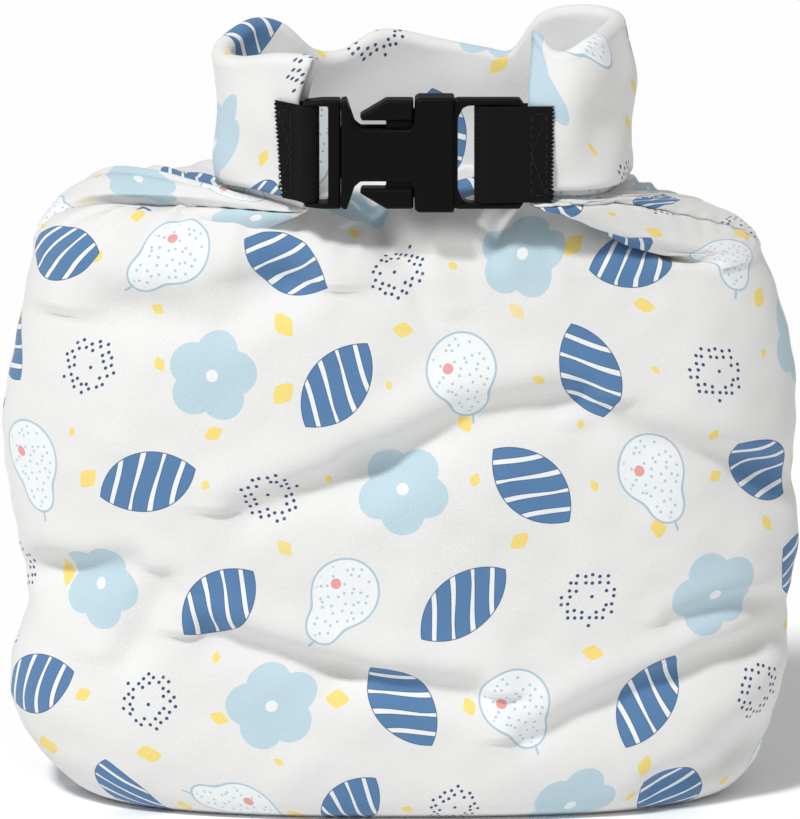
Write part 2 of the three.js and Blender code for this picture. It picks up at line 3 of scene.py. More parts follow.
import bpy
import numpy as np
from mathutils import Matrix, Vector


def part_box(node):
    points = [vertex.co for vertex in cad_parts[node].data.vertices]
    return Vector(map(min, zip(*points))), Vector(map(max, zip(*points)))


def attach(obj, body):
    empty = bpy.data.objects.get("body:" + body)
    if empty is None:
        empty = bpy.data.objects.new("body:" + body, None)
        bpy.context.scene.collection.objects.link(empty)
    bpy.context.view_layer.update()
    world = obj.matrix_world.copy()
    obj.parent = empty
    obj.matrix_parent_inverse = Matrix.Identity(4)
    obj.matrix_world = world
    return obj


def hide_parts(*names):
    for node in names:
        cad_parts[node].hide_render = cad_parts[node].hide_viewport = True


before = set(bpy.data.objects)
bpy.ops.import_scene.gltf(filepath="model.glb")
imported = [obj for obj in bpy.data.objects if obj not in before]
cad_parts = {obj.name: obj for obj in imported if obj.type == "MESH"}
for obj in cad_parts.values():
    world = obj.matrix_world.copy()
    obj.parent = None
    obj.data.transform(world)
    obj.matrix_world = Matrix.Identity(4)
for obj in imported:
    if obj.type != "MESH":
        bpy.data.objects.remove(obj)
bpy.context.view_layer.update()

MM = 0.001

# Sizes of the bag in millimetres, as the solids have them.
CLOTH_SPACE = 1.2
LAYER_GAP = 0.4
PIECE_GAP = 0.35
HALF_WIDTH = 153.0
FRONT_DEPTH = 56.0
BACK_DEPTH = 58.0
BODY_HEIGHT = 215.0
BASE_SEAM_HALF = 96.0
SHOULDER_RISE = 36.0
FOLD_HEIGHT = 50.0
NECK_BASE = 251.0
HEM_LIFT = 5.0
LOOP_DEPTH = 74.0
LEFT_EAR = 66.5
RIGHT_EAR = 84.5
WEBBING_WIDTH = 38.0
WEBBING_THICKNESS = 1.6
TAB_OVERLAP = 9.0
LEFT_TURN = math.radians(40)
LEFT_FREE = 4.6
RIGHT_FREE = 16.3
BUCKLE_Y = -57.0
PLUG_BAR_X = -35.0
SOCKET_BAR_X = 32.5
SOCKET_END = SOCKET_BAR_X + RIGHT_FREE - 1.1
BAR_RADIUS = 2.2

SHEET_PAIR = 2 * CLOTH_SPACE + LAYER_GAP
FOLD_SPACING = SHEET_PAIR + WEBBING_THICKNESS + 2 * PIECE_GAP
BUCKLE_Z = NECK_BASE + WEBBING_WIDTH / 2
BAND_FREE = BUCKLE_Z + WEBBING_WIDTH / 2
FLOOR = CLOTH_SPACE + LAYER_GAP / 2

# The solids' origin is the middle of the whole box. The buckle shows how far that is from x 0 and
# BUCKLE_Y.
socket_low, socket_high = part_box("buckle_socket")
SHIFT = Vector((
    socket_high.x / MM - SOCKET_END,
    (socket_low.y + socket_high.y) / 2 / MM - BUCKLE_Y,
    0,
))


def table(columns, rows):
    """A table with named columns. The first column is the key that the others are read by."""
    names = columns.split()
    return {name: np.array([row[i] for row in rows], float) for i, name in enumerate(names)}


BODY = table("height left right front back", [
    (0.0, 0.75, 0.79, 0.72, 0.72),
    (0.016, 0.81, 0.84, 0.83, 0.83),
    (0.05, 0.87, 0.89, 0.9, 0.89),
    (0.1, 0.93, 0.923, 0.95, 0.94),
    (0.17, 0.979, 0.952, 0.975, 0.965),
    (0.25, 0.978, 0.977, 0.985, 0.985),
    (0.35, 0.937, 0.977, 0.99, 1.0),
    (0.48, 0.963, 1.005, 1.0, 1.01),
    (0.58, 0.987, 0.987, 1.01, 1.01),
    (0.69, 1.0, 0.995, 1.01, 1.0),
    (0.8, 0.976, 0.99, 1.0, 0.99),
    (0.92, 0.942, 0.948, 0.97, 0.97),
    (1.0, 0.92, 0.905, 0.93, 0.94),
])
FRONT_SHOULDER = table("across rise drop flare", [
    (-1.0, 1.1, 0.2, 0.15),
    (-0.88, 1.05, 0.9, 0),
    (-0.62, 1.2, 1.3, 0),
    (-0.4, 1.15, 1.0, 0),
    (-0.2, 1.0, 0.5, 0),
    (-0.1, 0.95, 0.38, 0),
    (0.1, 1.3, 0.36, 0),
    (0.34, 1.0, 0.45, 0),
    (0.62, 0.4, 0.66, 0),
    (0.84, 0.2, 0.7, 0.1),
    (1.0, 0.62, 0.3, 1),
])
BACK_SHOULDER = table("across rise drop flare", [
    (-1.0, 1.1, 0.2, 0.15),
    (-0.85, 1.32, 0.08, 0.4),
    (-0.62, 1.14, 0.26, 0.5),
    (-0.32, 0.95, 0.24, 0.4),
    (-0.1, 0.85, 0.3, 0.3),
    (0.1, 0.82, 0.3, 0.3),
    (0.34, 0.8, 0.24, 0.4),
    (0.62, 0.7, 0.2, 0.55),
    (0.84, 0.7, 0.1, 0.55),
    (1.0, 0.62, 0.3, 1),
])
BAND = table("across top bottom lean slide", [
    (-1.0, 1.12, 0.0, 0, -0.22),
    (-0.9, 1.08, 0.0, 0, -0.1),
    (-0.78, 0.98, 0.0, 0.04, 0),
    (-0.68, 0.96, -0.02, 0.08, 0),
    (-0.6, 1.02, 0.0, 0.04, 0),
    (-0.5, 1.11, 0.01, 0, 0),
    (-0.42, 1.05, 0.02, 0, 0),
    (-0.34, 0.84, 0.02, 0, 0),
    (-0.26, 0.81, 0.03, 0, 0),
    (-0.15, 0.95, 0.04, 0, 0),
    (0.0, 0.88, 0.04, 0, 0),
    (0.13, 0.83, 0.04, 0, 0),
    (0.21, 0.84, 0.05, 0, 0),
    (0.28, 1.12, 0.05, 0, 0),
    (0.38, 1.22, 0.05, -0.02, 0),
    (0.52, 1.24, 0.06, -0.06, 0),
    (0.66, 1.22, 0.06, -0.1, 0),
    (0.8, 1.2, 0.07, -0.14, 0),
    (0.92, 1.12, 0.08, -0.22, 0),
    (1.0, 1.26, 0.09, -0.38, 0.04),
])
LOOP = [
    (-0.985, 0.42), (-1, 0.62), (-0.87, 0.78), (-0.6, 0.86), (-0.3, 0.95), (0, 1),
    (0.3, 0.96), (0.6, 0.85), (0.86, 0.76), (0.99, 0.6), (1, 0.34), (0.93, 0.13),
]
CREASES = table("x1 z1 x2 z2 width depth1 depth2", [
    (-0.69, 0.945, -0.27, 1.05, 16, 2, 6),
    (-0.37, 0.585, -0.07, 0.67, 17, 2.5, 5),
    (-0.07, 0.67, 0.44, 0.79, 17, 5, 2),
    (-0.46, 0.35, -0.17, 0.286, 15, 2, 4),
    (-0.17, 0.286, 0.17, 0.25, 15, 4, 1.5),
    (0.34, 0.16, 0.96, 0.31, 15, 2, 4),
    (-1.0, 0.418, -0.69, 0.473, 16, 7, 1.5),
    (1.0, 0.585, 0.5, 0.747, 16, 5, 1),
    (1.0, 0.374, 0.7, 0.374, 13, 4, 1),
    (0.68, 0.06, 0.92, 0.12, 16, 3, 6),
])


def read(rows, key, column, at):
    """A column at the given keys, on a smooth curve through the table's rows."""
    keys = rows[key]
    values = rows[column]
    at = np.clip(at, keys[0], keys[-1])
    i = np.clip(np.searchsorted(keys, at, side="left") - 1, 0, len(keys) - 2)
    before = np.maximum(np.arange(len(keys)) - 1, 0)
    after = np.minimum(np.arange(len(keys)) + 1, len(keys) - 1)
    slope = (values[after] - values[before]) / (keys[after] - keys[before])
    span = keys[i + 1] - keys[i]
    t = (at - keys[i]) / span
    return (
        (2 * t**3 - 3 * t**2 + 1) * values[i]
        + (t**3 - 2 * t**2 + t) * span * slope[i]
        + (3 * t**2 - 2 * t**3) * values[i + 1]
        + (t**3 - t**2) * span * slope[i + 1]
    )


def smooth(t):
    s = np.clip(t, 0, 1)
    return s * s * (3 - 2 * s)


def lerp(a, b, t):
    return a + (b - a) * t


def through_points(points, steps):
    """A centripetal Catmull-Rom curve through the points, as a dense polyline."""
    points = np.array(points, float)
    first = 2 * points[0] - points[1]
    last = 2 * points[-1] - points[-2]
    p = np.vstack([first, points, last])
    w = np.linspace(0, 1, steps, endpoint=False)[:, None]
    found = []
    for i in range(1, len(p) - 2):
        d0, d1, d2 = (np.sqrt(np.linalg.norm(p[i + k] - p[i + k - 1])) for k in (0, 1, 2))
        t1 = (p[i] - p[i - 1]) / d0 - (p[i + 1] - p[i - 1]) / (d0 + d1) + (p[i + 1] - p[i]) / d1
        t2 = (p[i + 1] - p[i]) / d1 - (p[i + 2] - p[i]) / (d1 + d2) + (p[i + 2] - p[i + 1]) / d2
        t1 *= d1
        t2 *= d1
        a = 2 * p[i] - 2 * p[i + 1] + t1 + t2
        b = -3 * p[i] + 3 * p[i + 1] - 2 * t1 - t2
        found.append(a * w**3 + b * w**2 + t1 * w + p[i])
    found.append(points[-1:])
    return np.vstack(found)


def lengths_along(line):
    steps = np.linalg.norm(np.diff(line, axis=0), axis=1)
    return np.concatenate([[0], np.cumsum(steps)])


# The band's path seen from above, with both ends pointing at the buckle's bars.
LEFT_HEADING = np.array([math.cos(LEFT_TURN), -math.sin(LEFT_TURN)])
LEFT_OUTWARD = np.array([-math.sin(LEFT_TURN), -math.cos(LEFT_TURN)])
RIGHT_HEADING = np.array([-1.0, 0.0])
RIGHT_OUTWARD = np.array([0.0, -1.0])
PLUG_BAR = np.array([PLUG_BAR_X, BUCKLE_Y])
SOCKET_BAR = np.array([SOCKET_BAR_X, BUCKLE_Y])
LEFT_END = PLUG_BAR - LEFT_FREE * LEFT_HEADING - FOLD_SPACING / 2 * LEFT_OUTWARD
RIGHT_END = SOCKET_BAR - RIGHT_FREE * RIGHT_HEADING - FOLD_SPACING / 2 * RIGHT_OUTWARD
STRAIGHT = 2 * TAB_OVERLAP
RIGHT_BEND = 1.5
PATH_STEPS = 60
NEAR_STEP = 0.25


def loop_path():
    front = (LEFT_END[1] + RIGHT_END[1]) / 2
    points = [LEFT_END - share * STRAIGHT * LEFT_HEADING for share in (0, 0.5, 1)]
    for across, depth in LOOP:
        reach = LEFT_EAR if across < 0 else RIGHT_EAR
        points.append(np.array([across * reach, front + depth * LOOP_DEPTH]))
    points.append(RIGHT_END - STRAIGHT * RIGHT_HEADING + np.array([0, RIGHT_BEND]))
    points.append(RIGHT_END - 0.5 * STRAIGHT * RIGHT_HEADING)
    points.append(RIGHT_END)
    return through_points(points, PATH_STEPS)


PATH = loop_path()
PATH_LENGTHS = lengths_along(PATH)
PATH_LENGTH = PATH_LENGTHS[-1]


def neck_at(us):
    """The band's place, its direction along and its direction outwards at each u."""
    wanted = (np.clip(us, -1, 1) + 1) / 2 * PATH_LENGTH
    near = [
        np.stack([np.interp(wanted + s, PATH_LENGTHS, PATH[:, k]) for k in (0, 1)], 1)
        for s in (-NEAR_STEP, 0, NEAR_STEP)
    ]
    along = near[2] - near[0]
    along /= np.linalg.norm(along, axis=1, keepdims=True)
    out = np.stack([-along[:, 1], along[:, 0]], 1)
    return near[1], along, out


def waves(seed, count, shortest, longest):
    """Random soft waves over a plane: directions, lengths and phases from one seed."""
    rng = np.random.default_rng(seed)
    turn = rng.uniform(0, 2 * math.pi, count)
    size = 2 * math.pi / rng.uniform(shortest, longest, count)
    phase = rng.uniform(0, 2 * math.pi, count)

    def height(x, y):
        total = sum(
            np.cos(s * (x * math.cos(t) + y * math.sin(t)) + p)
            for t, s, p in zip(turn, size, phase)
        )
        return total / math.sqrt(count)

    return height


# Waves of the cloth: seed, how many, the shortest and the longest in millimetres.
BAND_WAVES = waves(3, 7, 26, 60)
BODY_WAVES = waves(11, 9, 55, 120)
SMALL_WAVES = waves(23, 14, 16, 34)
BAND_SWAY = 1.25
BAND_SWAY_FADE = 12.0
LEAN_LIMIT = 1.2
LEAN_CURVE = 1.4


def band_point(us, neck, out, z):
    """A point of the band, out to the outside of the loop from its middle, at height z."""
    place, along, outwards = neck
    above = np.maximum(z - BAND_FREE, 0) / (FOLD_HEIGHT / 2)
    bend = FOLD_HEIGHT * np.minimum(above, LEAN_LIMIT) ** LEAN_CURVE
    free = smooth((1 - np.abs(us)) * 8) * smooth((z - NECK_BASE + HEM_LIFT) / BAND_SWAY_FADE)
    sway = BAND_SWAY * free * BAND_WAVES(us * PATH_LENGTH / 2, z)
    away = out + bend * read(BAND, "across", "lean", us) + sway
    slide = bend * read(BAND, "across", "slide", us) * -np.sign(us)
    xy = place + outwards * away[:, None] + along * slide[:, None]
    return np.column_stack([xy, z])


# The power of the body's rounded-square sections, at the base and from ROUND_FROM up.
BASE_POWER = 2.5
BODY_POWER = 2.35
ROUND_FROM = 0.45
LEVEL_SHARE = 1.25


def section_at(us, share, side):
    """One level of the body at each u, evenly along the cloth."""
    power = lerp(BASE_POWER, BODY_POWER, smooth(share / ROUND_FROM))
    if side < 0:
        depth = -FRONT_DEPTH * read(BODY, "height", "front", share)
    else:
        depth = BACK_DEPTH * read(BODY, "height", "back", share)
    angle = np.linspace(0, math.pi / 2, 160)
    across = np.sin(angle) ** (2 / power)
    deep = depth * np.clip(np.cos(angle), 0, 1) ** (2 / power)
    found = np.zeros((len(us), 2))
    for name, sign in (("left", -1), ("right", 1)):
        reach = sign * HALF_WIDTH * read(BODY, "height", name, share)
        line = np.column_stack([reach * across, deep])
        run = lengths_along(line)
        mine = (us < 0) == (sign < 0)
        wanted = np.abs(us[mine]) * run[-1]
        found[mine, 0] = np.interp(wanted, run, line[:, 0])
        found[mine, 1] = np.interp(wanted, run, line[:, 1])
    return found


def crease_depth(x, z):
    """How far the creases pull the front panel in."""
    pull = np.zeros(len(x))
    for k in range(len(CREASES["x1"])):
        c = {name: column[k] for name, column in CREASES.items()}
        ax = c["x1"] * HALF_WIDTH
        az = c["z1"] * BODY_HEIGHT
        dx = c["x2"] * HALF_WIDTH - ax
        dz = c["z2"] * BODY_HEIGHT - az
        t = np.clip(((x - ax) * dx + (z - az) * dz) / (dx * dx + dz * dz), 0, 1)
        away = np.hypot(x - ax - t * dx, z - az - t * dz) / c["width"]
        pull += lerp(c["depth1"], c["depth2"], t) * np.exp(-2 * away * away)
    return pull


def lining(us, v, side, neck):
    """The surface between the layers at each u, for the front panel (side -1) or the back one (1).
    v runs 0 to 1 along the base, 1 to 2 up the body, 2 to 3 over the shoulder, 3 to 4 up the band
    and over its fold, and 4 to 5 down to the mouth."""
    if v < 1:
        foot = section_at(us, 0.0, side)
        x = lerp(us * BASE_SEAM_HALF, foot[:, 0], v)
        y = lerp(side * LAYER_GAP / 2, foot[:, 1], v)
        return np.column_stack([x, y, np.full(len(us), FLOOR)])
    if v <= 2:
        share = (v - 1) ** LEVEL_SHARE
        at = section_at(us, share, side)
        z = np.full(len(us), FLOOR + share * BODY_HEIGHT)
        pull = np.zeros(len(us))
        if side < 0:
            pull = crease_depth(at[:, 0], z) * smooth((1 - np.abs(us)) * 6)
        return np.column_stack([at[:, 0] * (1 - pull / HALF_WIDTH), at[:, 1] - side * pull, z])
    hem = NECK_BASE + FOLD_HEIGHT * read(BAND, "across", "bottom", us)
    root = hem - HEM_LIFT
    inner = -FOLD_SPACING / 2
    if v <= 3:
        start = lining(us, 2, side, neck)
        shoulder = FRONT_SHOULDER if side < 0 else BACK_SHOULDER
        names = ("rise", "drop", "flare")
        rise, drop, flare = (SHOULDER_RISE * read(shoulder, "across", n, us) for n in names)
        above = start + np.column_stack([0 * us, 0 * us, rise])
        place, _, outwards = neck
        below = np.column_stack([place + outwards * (inner + flare)[:, None], root - drop])
        t = v - 2
        s = 1 - t
        end = band_point(us, neck, inner, root)
        return start * s**3 + above * 3 * s * s * t + below * 3 * s * t * t + end * t**3
    top = NECK_BASE + FOLD_HEIGHT * read(BAND, "across", "top", us) - FOLD_SPACING / 2
    bend = np.minimum(BAND_FREE, lerp(root, top, 0.85))
    if v <= 3.25:
        return band_point(us, neck, inner, lerp(root, bend, (v - 3) * 4))
    if v <= 3.5:
        return band_point(us, neck, inner, lerp(bend, top, (v - 3.25) * 4))
    if v <= 4:
        angle = (v - 3.5) * 2 * math.pi
        crown = band_point(us, neck, math.cos(angle) * inner, top)
        crown[:, 2] = top + math.sin(angle) * FOLD_SPACING / 2
        return crown
    if v <= 4.5:
        return band_point(us, neck, -inner, lerp(top, bend, (v - 4) * 2))
    return band_point(us, neck, -inner, lerp(bend, hem, (v - 4.5) * 2))


# Soft folds, finer than the creases above: width, depth at the first point and at the last, the
# ridge on the upper side, and the line's points (x, z), in millimetres.
FRONT_FOLDS = [
    (14, 1.4, 3.2, 1.8, [(-112, 200), (-72, 200), (-44, 216)]),
    (10, 1.2, 2.2, 1.6, [(-58, 126), (-10, 144), (26, 166), (68, 170)]),
    (9, 1.6, 1.4, 1.8, [(-72, 76), (-26, 62), (28, 54)]),
    (8, 1, 2, 1.0, [(50, 35), (83, 51), (119, 64), (148, 67)]),
    (8, 2.4, 0.8, 1.0, [(-150, 90), (-130, 96), (-104, 102)]),
    (8, 2.2, 0.6, 0.9, [(154, 126), (127, 143), (78, 161)]),
    (6, 1.8, 0.6, 0.7, [(150, 80), (129, 86), (106, 80)]),
    (7, 2.6, 2.2, 1.4, [(-14, 243), (-4, 229), (34, 227), (40, 243)]),
    (7, 2.4, 0.5, 0.6, [(-8, 240), (4, 222), (12, 204)]),
    (9, 1.2, 1.0, 0.5, [(-106, 64), (-91, 94)]),
    (8, 1.2, 2.0, 0.6, [(103, 13), (124, 15), (139, 25)]),
]
# On the back cloth they run in from the sides and down from the neck.
BACK_FOLDS = [
    (10, 1.6, 0.8, 1.2, [(-128, 196), (-84, 178), (-40, 180)]),
    (11, 1.8, 0.8, 1.4, [(132, 150), (86, 128), (30, 132)]),
    (10, 1.8, 0.8, 1.3, [(-140, 96), (-96, 84), (-34, 98)]),
    (10, 1.6, 1.0, 1.1, [(138, 62), (92, 56), (36, 38)]),
    (8, 1.6, 0.5, 1.0, [(34, 222), (48, 196), (82, 172)]),
    (9, 1.4, 0.8, 1.0, [(-112, 22), (-60, 34), (-8, 28)]),
]
# The groove under the right shoulder's lip, in millimetres across and over the shoulder.
SHOULDER_SPAN = (160, 60)
SHOULDER_FOLDS = [
    (9, 1.5, 5.0, 0, [(122, 9), (113, 26), (100, 46)]),
]
# Swellings of the shoulders: the side (0 for both), u, v, the spread in u and in v, and how far
# the cloth goes back and up.
SWELLS = [
    (0, -1.0, 2.42, 0.03, 0.2, 5.0, -4.0),
    (1, -0.93, 2.42, 0.045, 0.2, -7.0, -1.5),
    (-1, -0.91, 2.38, 0.045, 0.17, -1.0, 3.0),
    (-1, -0.62, 2.45, 0.2, 0.22, 0.0, 8.5),
    (-1, -0.82, 2.36, 0.1, 0.15, 0.0, 3.0),
    (-1, -0.34, 2.74, 0.13, 0.15, 7.0, -5.0),
    (0, 1.0, 2.62, 0.14, 0.24, 0.0, 8.0),
    (-1, 0.68, 2.45, 0.085, 0.2, 9.0, -4.0),
    (-1, 0.86, 2.5, 0.05, 0.2, -2.0, 0.0),
]
FOLD_GAIN = 1.8
# A fold's ridge, as shares of the fold's width: how far it is from the line, and how wide.
RIDGE_PLACE = 1.3
RIDGE_WIDTH = 0.9


def fold_height(fold, x, z):
    """How far one fold moves the cloth outwards: in along its line, and out beside it."""
    width, first_depth, last_depth, crest, points = fold
    line = np.array(points, float)
    run = lengths_along(line)
    best = np.full(x.shape, 1e9)
    side = np.zeros(x.shape)
    along = np.zeros(x.shape)
    for i in range(len(line) - 1):
        step = line[i + 1] - line[i]
        t = ((x - line[i, 0]) * step[0] + (z - line[i, 1]) * step[1]) / step.dot(step)
        t = np.clip(t, 0, 1)
        dx = x - line[i, 0] - t * step[0]
        dz = z - line[i, 1] - t * step[1]
        away = np.hypot(dx, dz)
        nearer = away < best
        best = np.where(nearer, away, best)
        side = np.where(nearer, np.sign(dz), side)
        along = np.where(nearer, (run[i] + t * (run[i + 1] - run[i])) / run[-1], along)
    valley = -lerp(first_depth, last_depth, along) * np.exp(-2 * (best / width) ** 2)
    beside = (best * side - RIDGE_PLACE * width) / (RIDGE_WIDTH * width)
    return valley + crest * np.exp(-(beside**2))


# Rows of the finer cloth: from one v to another, and how many.
ROWS = [(0, 0.94, 8), (0.94, 1, 4), (1, 2, 104), (2, 3, 62), (3, 3.25, 16), (3.25, 3.5, 12),
        (3.5, 4, 10), (4, 4.5, 14), (4.5, 5, 14)]
COLUMNS = 196
SEAM_TAPER = 4.0
SEAM_OFFSET = 0.35
# How far from the side seams and the base the folds and waves reach their full height.
SIDE_FADE = 30.0
BASE_FADE = 26.0
BODY_WAVE = 1.1
SMALL_WAVE = 0.3
GATHER = 0.8
# Puckers along the side seams: height, how often along v, and how far they reach from the seam.
PUCKER = 0.45
PUCKER_RATE = 90
PUCKER_REACH = 7


def panel_points(side):
    """The outer face of one cloth panel, row by row."""
    half = PATH_LENGTH / 2
    us = np.linspace(-1, 1, COLUMNS) * (1 - LAYER_GAP / 2 / half)
    vs = np.concatenate([np.linspace(a, b, n, endpoint=False) for a, b, n in ROWS] + [[5.0]])
    neck = neck_at(us)
    grid = np.array([lining(us, v, side, neck) for v in vs])
    du = np.gradient(grid, axis=1)
    dv = np.gradient(grid, axis=0)
    normal = np.cross(du, dv) * -side
    normal /= np.linalg.norm(normal, axis=2, keepdims=True)
    to_seam = (1 - np.abs(us)) * half
    offset = lerp(SEAM_OFFSET, LAYER_GAP / 2 + CLOTH_SPACE, smooth(to_seam / SEAM_TAPER))
    outer = grid + normal * offset[None, :, None]

    x, z = grid[..., 0], grid[..., 2]
    body = smooth((3 - vs) / 0.5)[:, None] * smooth(z / BASE_FADE)
    free = smooth(to_seam / SIDE_FADE)[None, :]
    lift = BODY_WAVE * BODY_WAVES(x, z + 300 * side) + SMALL_WAVE * SMALL_WAVES(x, z - 200 * side)
    folds = FRONT_FOLDS if side < 0 else BACK_FOLDS
    lift = lift + FOLD_GAIN * sum(fold_height(fold, x, z) for fold in folds)
    if side < 0:
        over = np.repeat((vs - 2)[:, None] * SHOULDER_SPAN[1], len(us), axis=1)
        across = np.repeat(us[None, :] * SHOULDER_SPAN[0], len(vs), axis=0)
        lift = lift + sum(fold_height(fold, across, over) for fold in SHOULDER_FOLDS)
    shoulder = smooth((vs - 1.85) / 0.7)[:, None] * smooth((3 - vs) / 0.25)[:, None]
    gather = np.cos(us * 62 + 1.3 * np.sin(us * 9 + side)) + 0.6 * np.cos(us * 103 + 2 * side)
    gathers = GATHER * gather[None, :] * shoulder
    pucker = np.cos(vs * PUCKER_RATE)[:, None] * np.exp(-to_seam / PUCKER_REACH)[None, :] * PUCKER
    outer += normal * ((lift * free * body) + gathers * free + pucker * body)[..., None]
    for on_side, u, v, wide, long, back, up in SWELLS:
        if on_side in (0, side):
            hill = np.exp(-(((us[None, :] - u) / wide) ** 2) - ((vs[:, None] - v) / long) ** 2)
            outer[..., 1] += back * hill
            outer[..., 2] += up * hill
    outer[..., 2] = np.maximum(outer[..., 2], 0.0)
    return us, vs, outer


CLOTH_WIDTH = 355.0
# The v at which the print is level on both panels, and how many columns its place is evened over.
PRINT_START = 1.4
PRINT_EVEN = 24
# Where the print of the back panel starts, in millimetres along its lattice.
BACK_PRINT = 500


def print_places(us, vs, points):
    """Where each point lies on the flat cloth: across by u, and up by the length along it."""
    steps = np.linalg.norm(np.diff(points, axis=0), axis=2)
    run = np.concatenate([np.zeros((1, len(us))), np.cumsum(steps, axis=0)])
    start = np.array([np.interp(PRINT_START, vs, run[:, c]) for c in range(len(us))])
    up = run - start
    kernel = np.hanning(2 * PRINT_EVEN + 1)
    kernel /= kernel.sum()
    padded = np.pad(up, ((0, 0), (PRINT_EVEN, PRINT_EVEN)), mode="edge")
    up = np.array([np.convolve(row, kernel, mode="valid") for row in padded])
    gathered = smooth((vs - 2.2) / 0.8)[:, None]
    across = us[None, :] * lerp(CLOTH_WIDTH, PATH_LENGTH, gathered) / 2
    return across, up


def new_object(name, points, faces, material=None):
    mesh = bpy.data.meshes.new(name)
    mesh.from_pydata([tuple(p) for p in points], [], faces)
    mesh.polygons.foreach_set("use_smooth", [True] * len(mesh.polygons))
    obj = bpy.data.objects.new(name, mesh)
    bpy.context.scene.collection.objects.link(obj)
    if material:
        mesh.materials.append(material)
    return obj


def apply_modifiers(obj):
    bpy.context.view_layer.update()
    shape = obj.evaluated_get(bpy.context.evaluated_depsgraph_get())
    mesh = bpy.data.meshes.new_from_object(shape)
    obj.modifiers.clear()
    old = obj.data
    obj.data = mesh
    bpy.data.meshes.remove(old)


CLOTH_THICKNESS = 0.5


def cloth_panel(name, node, side, material):
    """One panel of printed cloth as a soft sheet, with its place on the flat cloth as UV."""
    us, vs, points = panel_points(side)
    across, up = print_places(us, vs, points)
    rows, columns = len(vs), len(us)
    flat = (points.reshape(-1, 3) + np.array(SHIFT)) * MM
    r, c = np.meshgrid(np.arange(rows - 1), np.arange(columns - 1), indexing="ij")
    a = (r * columns + c).ravel()
    corners = np.column_stack([a, a + 1, a + columns + 1, a + columns])
    if side > 0:
        corners = corners[:, ::-1]
    panel = new_object(name, flat, corners.tolist(), material)
    layer = panel.data.uv_layers.new(name="cloth")
    start = BACK_PRINT if side > 0 else 0
    places = np.column_stack([across.ravel(), up.ravel() + start]) * MM
    layer.data.foreach_set("uv", places[corners.ravel()].ravel())
    solid = panel.modifiers.new("thickness", "SOLIDIFY")
    solid.thickness = CLOTH_THICKNESS * MM
    solid.offset = -1
    apply_modifiers(panel)
    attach(panel, "root")
    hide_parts(node)
    return panel


class Num:
    """A number on a material's surface. Arithmetic on it adds Math nodes."""

    def __init__(self, tree, socket):
        self.tree = tree
        self.socket = socket

    def math(self, operation, *values):
        node = self.tree.nodes.new("ShaderNodeMath")
        node.operation = operation
        for place, value in zip(node.inputs, values):
            if isinstance(value, Num):
                self.tree.links.new(value.socket, place)
            else:
                place.default_value = value
        return Num(self.tree, node.outputs[0])

    def __add__(self, other):
        return self.math("ADD", self, other)

    def __radd__(self, other):
        return self.math("ADD", other, self)

    def __sub__(self, other):
        return self.math("SUBTRACT", self, other)

    def __rsub__(self, other):
        return self.math("SUBTRACT", other, self)

    def __mul__(self, other):
        return self.math("MULTIPLY", self, other)

    def __rmul__(self, other):
        return self.math("MULTIPLY", other, self)

    def __truediv__(self, other):
        return self.math("DIVIDE", self, other)

    def __neg__(self):
        return self.math("MULTIPLY", self, -1.0)

    def __abs__(self):
        return self.math("ABSOLUTE", self)

    def floor(self):
        return self.math("FLOOR", self)

    def wrap(self, length):
        return self.math("FLOORED_MODULO", self, length)

    def sin(self):
        return self.math("SINE", self)

    def cos(self):
        return self.math("COSINE", self)

    def maximum(self, other):
        return self.math("MAXIMUM", self, other)

    def minimum(self, other):
        return self.math("MINIMUM", self, other)

    def below(self, limit, soft=0.12):
        """1 where the number is under limit, 0 above it, with a soft edge."""
        node = self.tree.nodes.new("ShaderNodeMapRange")
        node.inputs["From Min"].default_value = limit - soft
        node.inputs["From Max"].default_value = limit + soft
        node.inputs["To Min"].default_value = 1.0
        node.inputs["To Max"].default_value = 0.0
        self.tree.links.new(self.socket, node.inputs["Value"])
        return Num(self.tree, node.outputs["Result"])

    def equals(self, value):
        return self.math("COMPARE", self, value, 0.1)


def length(x, y):
    return (x * x + y * y).math("SQRT", x * x + y * y)


def vector_of(tree, x, y):
    node = tree.nodes.new("ShaderNodeCombineXYZ")
    tree.links.new(x.socket, node.inputs["X"])
    tree.links.new(y.socket, node.inputs["Y"])
    return node.outputs[0]


def parts_of(tree, socket, kind="ShaderNodeSeparateXYZ"):
    node = tree.nodes.new(kind)
    tree.links.new(socket, node.inputs[0])
    return [Num(tree, out) for out in node.outputs[:3]]


def mixed(tree, amount, under, over):
    """The colour under, with the colour over where amount is 1."""
    node = tree.nodes.new("ShaderNodeMix")
    node.data_type = "RGBA"
    tree.links.new(amount.socket, node.inputs[0])
    for place, value in ((node.inputs[6], under), (node.inputs[7], over)):
        if isinstance(value, tuple):
            place.default_value = (*value, 1)
        else:
            tree.links.new(value, place)
    return node.outputs[2]


def new_material(name, settings):
    material = bpy.data.materials.new(name)
    material.use_nodes = True
    shader = material.node_tree.nodes["Principled BSDF"]
    for socket, value in settings.items():
        shader.inputs[socket].default_value = value
    return material, material.node_tree, shader


def add_bump(tree, shader, height, strength, distance):
    node = tree.nodes.new("ShaderNodeBump")
    node.inputs["Strength"].default_value = strength
    node.inputs["Distance"].default_value = distance
    tree.links.new(height.socket, node.inputs["Height"])
    tree.links.new(node.outputs[0], shader.inputs["Normal"])


def noise(tree, vector, scale, detail=3.0):
    node = tree.nodes.new("ShaderNodeTexNoise")
    node.inputs["Scale"].default_value = scale
    node.inputs["Detail"].default_value = detail
    tree.links.new(vector, node.inputs["Vector"])
    return Num(tree, node.outputs[0])


